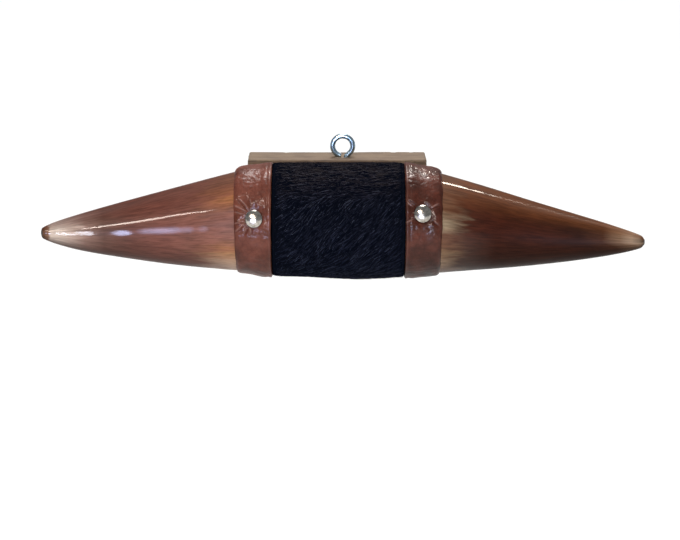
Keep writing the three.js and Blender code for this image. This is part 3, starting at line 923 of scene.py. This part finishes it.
def wood_material(name, light, middle, dark, ring_width, seed, roughness=0.82):
    material, tree, shader = new_material(name, Roughness=roughness, Specular_IOR_Level=0.25)
    place = node(tree, "ShaderNodeTexCoord", out="Object")
    bent = node(
        tree,
        "ShaderNodeMapping",
        {"Vector": place, "Location": (seed, seed, seed), "Scale": (0.05, 1, 1), "Rotation": (0.35, 0, 0)},
    )
    rings = node(
        tree,
        "ShaderNodeTexWave",
        {"Vector": bent, "Scale": 0.31 / ring_width, "Distortion": 5.0, "Detail": 3.0, "Detail Scale": 1.2},
        bands_direction="Y",
    )
    fine_place = node(tree, "ShaderNodeMapping", {"Vector": place, "Scale": (0.04, 1, 1)})
    grain_noise = {"Vector": fine_place, "Scale": 1 / (0.75 * MM), "Detail": 6.0}
    fibre = node(tree, "ShaderNodeTexNoise", grain_noise)
    patches = node(tree, "ShaderNodeTexNoise", {"Vector": place, "Scale": 1 / (22 * MM), "Detail": 4.0})
    grain = node(tree, "ShaderNodeMath", {0: rings, 1: 0.16, 2: fibre}, operation="MULTIPLY_ADD")
    total = node(tree, "ShaderNodeMath", {0: patches, 1: 0.5, 2: grain}, operation="MULTIPLY_ADD")
    stops = [(0.46, dark), (0.68, middle), (0.9, light)]
    colour = node(tree, "ShaderNodeValToRGB", {"Fac": total}, stops=stops)
    tree.links.new(colour, shader.inputs["Base Color"])
    relief = {"Height": grain, "Strength": 0.5, "Distance": 0.35 * MM}
    tree.links.new(node(tree, "ShaderNodeBump", relief), shader.inputs["Normal"])
    return material


block_wood = wood_material("weathered_softwood", "#7b6957", "#605045", "#3e3228", 3.2 * MM, 0.13)
print("block material:", block_wood.name)

# %% [markdown]
# The block itself is a dense box whose edges are rounded by drawing each point in towards a
# smaller box, then worn: grain ridges run along X, corners are knocked, and the top is dented
# where the eye was screwed in. Points of the back near a screw are gathered into a round recess
# for its head.

# %% Block
BLOCK_STEP = 1.6 * MM
BLOCK_EDGE = 1.9 * MM
KNOCK_DEPTH = 0.9 * MM
GRAIN_HEIGHT, LUMP_HEIGHT, WEAR = 0.16 * MM, 0.3 * MM, 0.35 * MM
DENT_AT = (2.5 * MM, -2 * MM)
DENT_HALF = (7 * MM, 4 * MM)
DENT_DEPTH = 1.1 * MM
SCREW_HEADS = [sum(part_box(name), Vector()) / 2 for name in ("back_screw_left", "back_screw_right")]
RECESS_RADIUS = 4.7 * MM
RECESS_DEPTH = 2 * MM
RECESS_SPREAD = 1.14  # draws the floor's points out to the wall, so that the wall is steep


def make_block():
    size = np.array(BLOCK_SIZE)
    low = np.array(BLOCK_LOW)
    shape = bmesh.new()
    bmesh.ops.create_cube(shape, size=1.0)
    for axis in range(3):
        lines = [e for e in shape.edges if abs((e.verts[0].co - e.verts[1].co)[axis]) > 0.01]
        cuts = int(size[axis] / BLOCK_STEP)
        bmesh.ops.subdivide_edges(shape, edges=lines, cuts=cuts, use_grid_fill=True)
    mesh = bpy.data.meshes.new("back_block_wood")
    shape.to_mesh(mesh)
    shape.free()
    unit = np.array([v.co for v in mesh.vertices]) + 0.5
    points = low + unit * size
    inside = np.clip(points, low + BLOCK_EDGE, low + size - BLOCK_EDGE)
    away = points - inside
    length = np.linalg.norm(away, axis=1, keepdims=True)
    knocks = smoothstep(noise_at(points, 9 * MM, 3.3), 0.25, 0.9)[:, None] * KNOCK_DEPTH
    corner = (np.count_nonzero(np.abs(away) > 0.2 * MM, axis=1) > 1)[:, None]
    reach = BLOCK_EDGE - knocks * corner
    direction = away / np.maximum(length, 1e-9)
    points = inside + direction * reach
    grain = noise_at(points * (0.03, 1, 1), 2.2 * MM, 1.0) * GRAIN_HEIGHT
    lumps = noise_at(points * (0.3, 1, 1), 16 * MM, 4.0, 2) * LUMP_HEIGHT
    points += direction * (grain + lumps - WEAR)[:, None]
    beside_eye = (points[:, :2] - DENT_AT) / DENT_HALF
    dent = np.exp(-np.sum(beside_eye**2, axis=1))
    top = smoothstep(points[:, 2], BLOCK_HIGH.z - 3 * MM, BLOCK_HIGH.z - 1 * MM)
    points[:, 2] -= dent * top * DENT_DEPTH
    back = points[:, 1] > BLOCK_HIGH.y - 1 * MM
    for head in SCREW_HEADS:
        beside = points[:, [0, 2]] - (head.x, head.z)
        distance = np.linalg.norm(beside, axis=1)
        outward = beside / np.maximum(distance, 1e-9)[:, None]
        floor = back & (distance < RECESS_RADIUS - BLOCK_STEP / 2)
        rim = back & ~floor & (distance < RECESS_RADIUS + BLOCK_STEP / 2)
        middle = np.array((head.x, head.z))
        points[np.ix_(floor, [0, 2])] = middle + beside[floor] * RECESS_SPREAD
        points[floor, 1] = BLOCK_HIGH.y - RECESS_DEPTH
        points[np.ix_(rim, [0, 2])] = middle + outward[rim] * RECESS_RADIUS
    mesh.vertices.foreach_set("co", points.ravel())
    mesh.materials.append(block_wood)
    mesh.polygons.foreach_set("use_smooth", [True] * len(mesh.polygons))
    made = bpy.data.objects.new("back_block_wood", mesh)
    bpy.context.scene.collection.objects.link(made)
    print("block", len(mesh.polygons), "faces")
    return made


block = make_block()

# %% [markdown]
# The screw eye is one length of wire, bent round into a ring that nearly closes and then down
# into its shank. The route is a list of points on the ring's circle and a few below it, and a
# curve with a round bevel turns it into wire. Zinc plate, passivated blue, looks cool and bright.

# %% Screw eye
WIRE_RADIUS = 2.4 * MM
RING_RADIUS = 9.35 * MM
RING_START = math.radians(-102)
RING_END = math.radians(-52)
EYE_SHANK_X = 2.6 * MM

zinc = plated_metal("blue_zinc_plate", "#a6bdcb", "#8098a8", 0.27, 1.8 * MM)


def make_eye():
    sweep = 2 * math.pi + RING_START - RING_END
    angles = [RING_START - sweep * i / 16 for i in range(17)]
    route = [(RING_RADIUS * math.cos(a), 0, RING_RADIUS * math.sin(a)) for a in angles]
    below = [(EYE_SHANK_X + 0.7 * MM, -10.6 * MM), (EYE_SHANK_X, -14 * MM)]
    below += [(EYE_SHANK_X, -24 * MM), (EYE_SHANK_X, -34 * MM)]
    route += [(x, 0, z) for x, z in below]
    curve = bpy.data.curves.new("screw_eye_wire", "CURVE")
    curve.dimensions = "3D"
    curve.bevel_depth = WIRE_RADIUS
    curve.bevel_resolution = 8
    curve.resolution_u = 10
    curve.use_fill_caps = True
    spline = curve.splines.new("BEZIER")
    spline.bezier_points.add(len(route) - 1)
    for point, place in zip(spline.bezier_points, route):
        point.co = place
        point.handle_left_type = point.handle_right_type = "AUTO"
    bent = bpy.data.objects.new("screw_eye_bent", curve)
    bpy.context.scene.collection.objects.link(bent)
    bpy.context.view_layer.update()
    mesh = bpy.data.meshes.new_from_object(bent.evaluated_get(bpy.context.evaluated_depsgraph_get()))
    bpy.data.objects.remove(bent)
    joined = bmesh.new()
    joined.from_mesh(mesh)
    bmesh.ops.remove_doubles(joined, verts=joined.verts, dist=0.001 * MM)
    bmesh.ops.recalc_face_normals(joined, faces=joined.faces)
    joined.to_mesh(mesh)
    joined.free()
    mesh.materials.clear()
    mesh.materials.append(zinc)
    mesh.polygons.foreach_set("use_smooth", [True] * len(mesh.polygons))
    made = bpy.data.objects.new("screw_eye_wire", mesh)
    bpy.context.scene.collection.objects.link(made)
    print("eye", len(mesh.polygons), "faces")
    return made


eye = make_eye()

# %% [markdown]
# The hide is a strip of black hair-on cowhide, wrapped tight round the core with its edges under
# the bands. Its skin is a thin closed tube, black and without gloss, so that the gaps between the
# hairs read as shadow. The height of the lying hair is close to the frame's: fuller on top, and a
# little loose under the core on one side.

# %% Hide skin
HIDE_RADIUS = 50.6 * MM
HIDE_CROWN = 2.2 * MM
HIDE_SAG = 2.9 * MM
HIDE_SAG_X = 14 * MM
HIDE_SAG_REACH = 36 * MM
HAIR_DEPTH = 0.7 * MM
EDGE_TUCK, TUCK_RUN = 0.9 * MM, 2.5 * MM
SKIN_COLUMNS, SKIN_ROWS = 240, 90


def hide_radius(x, angle):
    up = np.sin(angle)
    loose = np.exp(-(((x - HIDE_SAG_X) / HIDE_SAG_REACH) ** 2)) * np.maximum(0, -up) ** 3
    return HIDE_RADIUS + HIDE_CROWN * np.maximum(0, up) ** 2 + HIDE_SAG * loose


def skin_radius(x, angle):
    """Radius of the skin under the hair, which tucks in at the wrap's edges."""
    tuck = EDGE_TUCK * (1 - smoothstep(HIDE_HALF - np.abs(x), 0, TUCK_RUN))
    return hide_radius(x, angle) - HAIR_DEPTH - tuck


def core_points(x, angle, radius):
    x, angle, radius = np.broadcast_arrays(x, angle, radius)
    return np.stack([x, -radius * np.cos(angle), radius * np.sin(angle)], -1) + np.array(CORE)


skin_leather, tree, shader = new_material(
    "black_hide_skin", Base_Color=srgb("#070a13"), Roughness=0.75, Specular_IOR_Level=0.0
)
skin_angle = np.linspace(0, 2 * np.pi, SKIN_COLUMNS, endpoint=False)
skin_half = HIDE_HALF + 0.15 * MM
skin_x = np.linspace(-skin_half, skin_half, SKIN_ROWS)[:, None]
skin_rows = core_points(skin_x, skin_angle, skin_radius(skin_x, skin_angle))
inner_rows = core_points(skin_x[::-1][::12], skin_angle, CORE_RADIUS + GAP)
hide_skin = grid_mesh("hide_skin", np.concatenate([skin_rows, inner_rows]), skin_leather, ring=True)
print("hide skin", len(hide_skin.data.polygons), "faces")

# %% [markdown]
# The hair is Geometry Nodes work: tens of thousands of strands, scattered on the skin, each a
# tapering three-sided cone that lies along the direction in which the hair is combed. That
# direction is worked out here, point by point: nearly level on the top of the wrap, and falling
# to a slant below a parting that dips in the middle, with gentle waves in it. A cow has two
# coats: a dense undercoat, and thinner guard hair that lies over it. The guard hair is painted
# paler, as a painted highlight where it would catch the light.
# Real hairs are less than 0.1 mm thick. These are drawn thicker, and fewer, so that they show.

# %% Comb the hair
HAIR_LENGTH = 11.5 * MM
LOCK_SIZE = 2.1 * MM
LOCK_CONTRAST = 1.6
RUFFLE = 0.16  # how far a strand strays from the combed direction
PATCHES = 4
BARE_EDGE = 0.6 * MM  # no hair grows nearer to the wrap's edge
ROOT_DEPTH = 0.1 * MM
# density per square metre, root radius, height above the roots, and the shades added to the locks
UNDERCOAT = (1.2e6, 0.2 * MM, 0.0, -0.62, -0.08)
# the guard hair's higher shades paint it paler, as a painted highlight
GUARD_HAIR = (2.4e5, 0.11 * MM, 0.5 * MM, -0.6, 0.14)


def comb(x, angle):
    """Slant of the hair over the hide's run, in radians, from level at 0."""
    centred = x / HIDE_HALF
    parting = math.radians(31) + math.radians(9) * (centred - 0.05) ** 2 + math.radians(3) * centred
    around = (angle + np.pi) % (2 * np.pi) - np.pi
    level = smoothstep(around, parting - math.radians(7), parting + math.radians(9))
    slant = math.radians(47) - math.radians(16) * smoothstep(-around, 0.35, 1.2)
    slant = slant - math.radians(14) * smoothstep(-centred, 0.55, 1.0)
    places = core_points(x, angle, 50 * MM)
    waves = noise_at(places, 24 * MM, 2.7, 2) * math.radians(16)
    waves = waves + noise_at(places, 8 * MM, 9.1, 2) * math.radians(7)
    return slant * (1 - level) + math.radians(4) * level + waves


def make_patch(index, above):
    """A quarter of the skin's outside as an open grid, with the hair's direction on its points."""
    columns = SKIN_COLUMNS // PATCHES
    span = np.arange(index * columns, (index + 1) * columns + 1)
    angle = span * 2 * np.pi / SKIN_COLUMNS
    x = np.linspace(-HIDE_HALF + BARE_EDGE, HIDE_HALF - BARE_EDGE, SKIN_ROWS)[:, None]
    lifted = above * smoothstep(HIDE_HALF - np.abs(x), 1 * MM, 6 * MM)
    points = core_points(x, angle, skin_radius(x, angle) - ROOT_DEPTH + lifted)
    rows, around = points.shape[:2]
    i, j = np.meshgrid(np.arange(rows - 1), np.arange(around - 1), indexing="ij")
    corners = [(i, j), (i, j + 1), (i + 1, j + 1), (i + 1, j)]
    quads = np.stack([a * around + b for a, b in corners], -1).reshape(-1, 4).tolist()
    patch = new_mesh("hair_patch", points.reshape(-1, 3), quads, skin_leather)
    slant = comb(x, angle)
    rising = np.stack([0 * slant, np.sin(angle) + 0 * slant, np.cos(angle) + 0 * slant], -1)
    direction = np.cos(slant)[..., None] * np.array([1.0, 0, 0]) + np.sin(slant)[..., None] * rising
    room = (HIDE_HALF - x) / np.maximum(np.cos(slant), 0.2) / HAIR_LENGTH
    set_attribute(patch, "comb", direction.reshape(-1, 3))
    set_attribute(patch, "room", np.clip(room, 0.22, 1).ravel())
    return patch


# %% [markdown]
# A black cow's hair is a very dark brown that looks blue-grey where it catches the sky; that
# blue-grey is painted into the strands' shades as a painted reflection. Every strand carries its
# own shade, and the shades follow the locks. The top is painted browner, as a painted sheen of
# the light from above.

# %% Hair material
# the hair is painted browner between these heights, as a painted sheen
SHEEN_FROM, SHEEN_TO = 24 * MM, 50 * MM  # above the core's middle
SHEEN_SHARE = 0.42


def hair_material():
    """Black hair with a shade of its own for each strand, painted a little browner on top as sheen."""
    material, tree, shader = new_material("black_cow_hair", Roughness=0.5, Specular_IOR_Level=0.01)
    shade = node(tree, "ShaderNodeAttribute", out="Fac", attribute_name="shade")
    # painted reflection and highlight: the stops are blue-grey like the sky's reflection, and the paler
    # ones are highlights on strands
    stops = [(0.1, "#0b0e18"), (0.4, "#161a2a"), (0.62, "#202538"), (0.82, "#2d3246"), (1.0, "#42475a")]
    colour = node(tree, "ShaderNodeValToRGB", {"Fac": shade}, stops=stops)
    place = node(tree, "ShaderNodeTexCoord", out="Object")
    height = node(tree, "ShaderNodeSeparateXYZ", {"Vector": place}, out="Z")
    ends = {"Value": height, "From Min": CORE.z + SHEEN_FROM, "From Max": CORE.z + SHEEN_TO}
    ends["To Max"] = SHEEN_SHARE
    painted_sheen = node(tree, "ShaderNodeMapRange", ends, interpolation_type="SMOOTHSTEP")
    inputs = {0: painted_sheen, COLOUR_A: colour, COLOUR_B: srgb("#4a403a")}
    colour = node(tree, "ShaderNodeMix", inputs, out=COLOUR_OUT, data_type="RGBA")
    tree.links.new(colour, shader.inputs["Base Color"])
    return material


black_hair = hair_material()
print("hair material:", black_hair.name)

# %% [markdown]
# The tree scatters points on the skin and puts a bent cone on each, turned along the combing and
# ruffled a little. Near the wrap's edge the strands are shorter. Noise with the size of a lock
# gives the shade, the strands are made real, and they get their material last.


# %% Hair tree
def hair_tree():
    tree = bpy.data.node_groups.new("lying_hair", "GeometryNodeTree")
    sockets = tree.interface
    sockets.new_socket("Geometry", in_out="INPUT", socket_type="NodeSocketGeometry")
    for name, kind, value in (
        ("Density", "NodeSocketFloat", UNDERCOAT[0]),
        ("Length", "NodeSocketFloat", HAIR_LENGTH),
        ("Root Radius", "NodeSocketFloat", UNDERCOAT[1]),
        ("Shade Low", "NodeSocketFloat", UNDERCOAT[3]),
        ("Shade High", "NodeSocketFloat", UNDERCOAT[4]),
        ("Seed", "NodeSocketInt", 1),
    ):
        sockets.new_socket(name, in_out="INPUT", socket_type=kind).default_value = value
    sockets.new_socket("Geometry", in_out="OUTPUT", socket_type="NodeSocketGeometry")
    given = node(tree, "NodeGroupInput", out=None).outputs
    scatter = node(
        tree,
        "GeometryNodeDistributePointsOnFaces",
        {"Mesh": given["Geometry"], "Density": given["Density"], "Seed": given["Seed"]},
        out=None,
    )
    strand = node(
        tree,
        "GeometryNodeMeshCone",
        {
            "Vertices": 3,
            "Side Segments": 3,
            "Radius Top": 0.0,
            "Radius Bottom": given["Root Radius"],
            "Depth": given["Length"],
        },
        out="Mesh",
    )
    place = node(tree, "GeometryNodeInputPosition")
    height = node(tree, "ShaderNodeSeparateXYZ", {0: place}, out="Z")
    share = node(tree, "ShaderNodeMath", {0: height, 1: given["Length"]}, operation="DIVIDE")
    drop = node(tree, "ShaderNodeMath", {0: share, 1: share}, operation="MULTIPLY")
    lift = node(tree, "ShaderNodeMath", {0: share, 1: 0.2}, operation="MULTIPLY")
    arch = node(tree, "ShaderNodeMath", {0: drop, 1: -0.1, 2: lift}, operation="MULTIPLY_ADD")
    offset = node(tree, "ShaderNodeMath", {0: arch, 1: given["Length"]}, operation="MULTIPLY")
    vector = node(tree, "ShaderNodeCombineXYZ", {"X": offset})
    bent = node(tree, "GeometryNodeSetPosition", {"Geometry": strand, "Offset": vector})
    direction = node(
        tree, "GeometryNodeInputNamedAttribute", {"Name": "comb"}, data_type="FLOAT_VECTOR"
    )
    ruffle = node(
        tree,
        "FunctionNodeRandomValue",
        {0: [-RUFFLE] * 3, 1: [RUFFLE] * 3, "Seed": given["Seed"]},
        data_type="FLOAT_VECTOR",
    )
    leaning = node(tree, "ShaderNodeVectorMath", {0: direction, 1: ruffle}, operation="ADD")
    turned = node(
        tree,
        "FunctionNodeAxesToRotation",
        {"Primary Axis": leaning, "Secondary Axis": scatter.outputs["Normal"]},
        primary_axis="Z",
        secondary_axis="X",
    )
    room = node(tree, "GeometryNodeInputNamedAttribute", {"Name": "room"}, data_type="FLOAT")
    stretch = {2: 0.6, 3: 1.1, "Seed": 7}
    spread = node(tree, "FunctionNodeRandomValue", stretch, out=1, data_type="FLOAT")
    scale = node(tree, "ShaderNodeMath", {0: room, 1: spread}, operation="MULTIPLY")
    sizes = node(tree, "ShaderNodeCombineXYZ", {"X": spread, "Y": 1.0, "Z": scale})
    strands = node(
        tree,
        "GeometryNodeInstanceOnPoints",
        {"Points": scatter.outputs["Points"], "Instance": bent, "Rotation": turned, "Scale": sizes},
    )
    lock = node(tree, "ShaderNodeTexNoise", {"Scale": 1 / LOCK_SIZE, "Detail": 2.0})
    shades = {2: given["Shade Low"], 3: given["Shade High"], "Seed": 3}
    stray = node(tree, "FunctionNodeRandomValue", shades, out=1, data_type="FLOAT")
    shade = node(tree, "ShaderNodeMath", {0: lock, 1: LOCK_CONTRAST, 2: stray}, operation="MULTIPLY_ADD")
    shaded = node(
        tree,
        "GeometryNodeStoreNamedAttribute",
        {"Geometry": strands, "Name": "shade", "Value": shade},
        data_type="FLOAT",
        domain="INSTANCE",
    )
    real = node(tree, "GeometryNodeRealizeInstances", {"Geometry": shaded})
    finished = node(tree, "GeometryNodeSetMaterial", {"Geometry": real, "Material": black_hair})
    node(tree, "NodeGroupOutput", {"Geometry": finished}, out=None)
    return tree


lying_hair = hair_tree()
print("hair tree:", len(lying_hair.nodes), "nodes")

# %% [markdown]
# The tree runs on each quarter of the skin, once for the undercoat and once for the guard hair,
# and each result becomes a plain mesh of its own.

# %% Grow the hair
SOCKET = {s.name: s.identifier for s in lying_hair.interface.items_tree if s.in_out == "INPUT"}


def grow(name, index, coat):
    density, root_radius, above, shade_low, shade_high = coat
    patch = make_patch(index, above)
    modifier = patch.modifiers.new("hair", "NODES")
    modifier.node_group = lying_hair
    modifier[SOCKET["Density"]] = density
    modifier[SOCKET["Length"]] = HAIR_LENGTH
    modifier[SOCKET["Root Radius"]] = root_radius
    modifier[SOCKET["Shade Low"]] = shade_low
    modifier[SOCKET["Shade High"]] = shade_high
    modifier[SOCKET["Seed"]] = 11 + index
    bpy.context.view_layer.update()
    grown = patch.evaluated_get(bpy.context.evaluated_depsgraph_get())
    mesh = bpy.data.meshes.new_from_object(grown)
    bpy.data.objects.remove(patch)
    mesh.name = f"{name}_{index + 1}"
    made = bpy.data.objects.new(mesh.name, mesh)
    bpy.context.scene.collection.objects.link(made)
    triangles = sum(len(p.vertices) - 2 for p in mesh.polygons)
    print(made.name, triangles, "triangles")
    return made


hair = [grow("hide_hair", index, UNDERCOAT) for index in range(PATCHES)]
hair += [grow("guard_hair", index, GUARD_HAIR) for index in range(PATCHES)]

# %% [markdown]
# What is left of the frame's own nodes: the hidden wood core and the two screws in the block's
# back. Their shapes are right, so they stay and only get their materials.

# %% Core and back screws
core_wood = wood_material("turned_softwood", "#c9a678", "#b08a62", "#8a6744", 4 * MM, 0.57, 0.7)
steel = plated_metal("plain_steel", "#9c9a96", "#6f6c68", 0.35, 1.2 * MM)
for name, finish in (
    ("wood_core", core_wood),
    ("back_screw_left", steel),
    ("back_screw_right", steel),
):
    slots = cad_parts[name].data.materials
    slots.clear()
    slots.append(finish)
    print(name, "gets", finish.name)

# %% [markdown]
# Last, each piece is tied to the frame: it rides on the root body, and the frame's node that it
# stands for is hidden.

# %% Tie the pieces to the frame
for piece, replaced, slot in (
    (left_horn, "left_horn", "left_horn"),
    (right_horn, "right_horn", "right_horn"),
    (left_band, "left_band", "band_leather"),
    (right_band, "right_band", "band_leather"),
    (left_nail, "left_nail", "nickel"),
    (right_nail, "right_nail", "nickel"),
    (block, "back_block", "block_wood"),
    (eye, "screw_eye", "zinc"),
    (hide_skin, "hide_wrap", "hide"),
):
    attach(piece, "root")
    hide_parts(replaced)
for tuft in hair:
    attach(tuft, "root")
print("pieces of hair:", len(hair))
